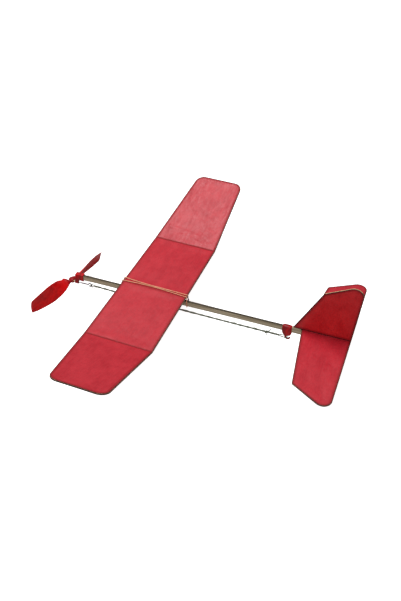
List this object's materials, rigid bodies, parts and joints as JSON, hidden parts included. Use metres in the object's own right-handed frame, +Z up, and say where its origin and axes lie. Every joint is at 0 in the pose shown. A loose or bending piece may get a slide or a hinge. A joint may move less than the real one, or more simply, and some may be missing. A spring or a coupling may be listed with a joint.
{
  "type": "rubber band plane",
  "caption": "Stick model aeroplane with a tissue covered wing and tail, driven by a twisted rubber band and a plastic propeller.",
  "frame": {"origin": "on the motor stick's top face, on its centreline, at the station of the wing's leading edge", "axes": "+X towards the tail, +Y towards the right wing tip, +Z up"},
  "size_m": [0.4425, 0.4982, 0.1357],
  "materials": {
    "stick_wood": "bare sanded softwood, straight grain along the stick",
    "strip_wood": "bare split wood strip",
    "tissue": "thin red translucent tissue, doped, faint fibre and wrinkles",
    "red_plastic": "moulded dark red plastic",
    "propeller_plastic": "moulded red plastic, satin gloss",
    "bead_plastic": "white plastic",
    "washer_brass": "bright",
    "wire_steel": "bright spring wire",
    "motor_rubber": "grey-green strip rubber, matte",
    "band_rubber": "natural tan rubber, matte",
    "mount_plastic": "black moulded plastic",
    "black_wire": "blackened wire"
  },
  "bodies": {
    "fuselage": {"motor_stick": "stick_wood", "nose_bearing": "red_plastic", "thrust_washers": "washer_brass", "thrust_bead": "bead_plastic", "rubber_motor": "motor_rubber", "rubber_knot": "motor_rubber", "rubber_rear_loop": "motor_rubber", "rear_hook": "red_plastic", "stab_leading_left": "strip_wood", "stab_leading_right": "strip_wood", "stab_trailing": "strip_wood", "stab_tip_left": "strip_wood", "stab_tip_right": "strip_wood", "stab_covering": "tissue", "tail_packer": "stick_wood", "fin_base": "strip_wood", "fin_leading": "strip_wood", "fin_top": "strip_wood", "fin_trailing": "strip_wood", "fin_covering": "tissue"},
    "propeller": {"propeller": "propeller_plastic", "prop_shaft": "wire_steel", "rubber_front_loop": "motor_rubber"},
    "wing": {"centre_leading_strip": "strip_wood", "centre_trailing_strip": "strip_wood", "centre_rib": "strip_wood", "left_break_rib": "strip_wood", "right_break_rib": "strip_wood", "left_tip_leading": "strip_wood", "left_tip_end": "strip_wood", "left_tip_trailing": "strip_wood", "right_tip_leading": "strip_wood", "right_tip_end": "strip_wood", "right_tip_trailing": "strip_wood", "centre_covering": "tissue", "left_tip_covering": "tissue", "right_tip_covering": "tissue", "wing_mount": "mount_plastic", "front_wing_clip": "black_wire", "rear_wing_clip": "black_wire", "wing_band": "band_rubber"}
  },
  "joints": [
    {"name": "propeller_spin", "type": "hinge", "parent": "fuselage", "child": "propeller", "pos_m": [-0.0885, 0, -0.0155], "axis": [1, 0, 0], "continuous": true},
    {"name": "wing_slide", "type": "slide", "parent": "fuselage", "child": "wing", "axis": [1, 0, 0], "range_m": [-0.03, 0.03]}
  ]
}
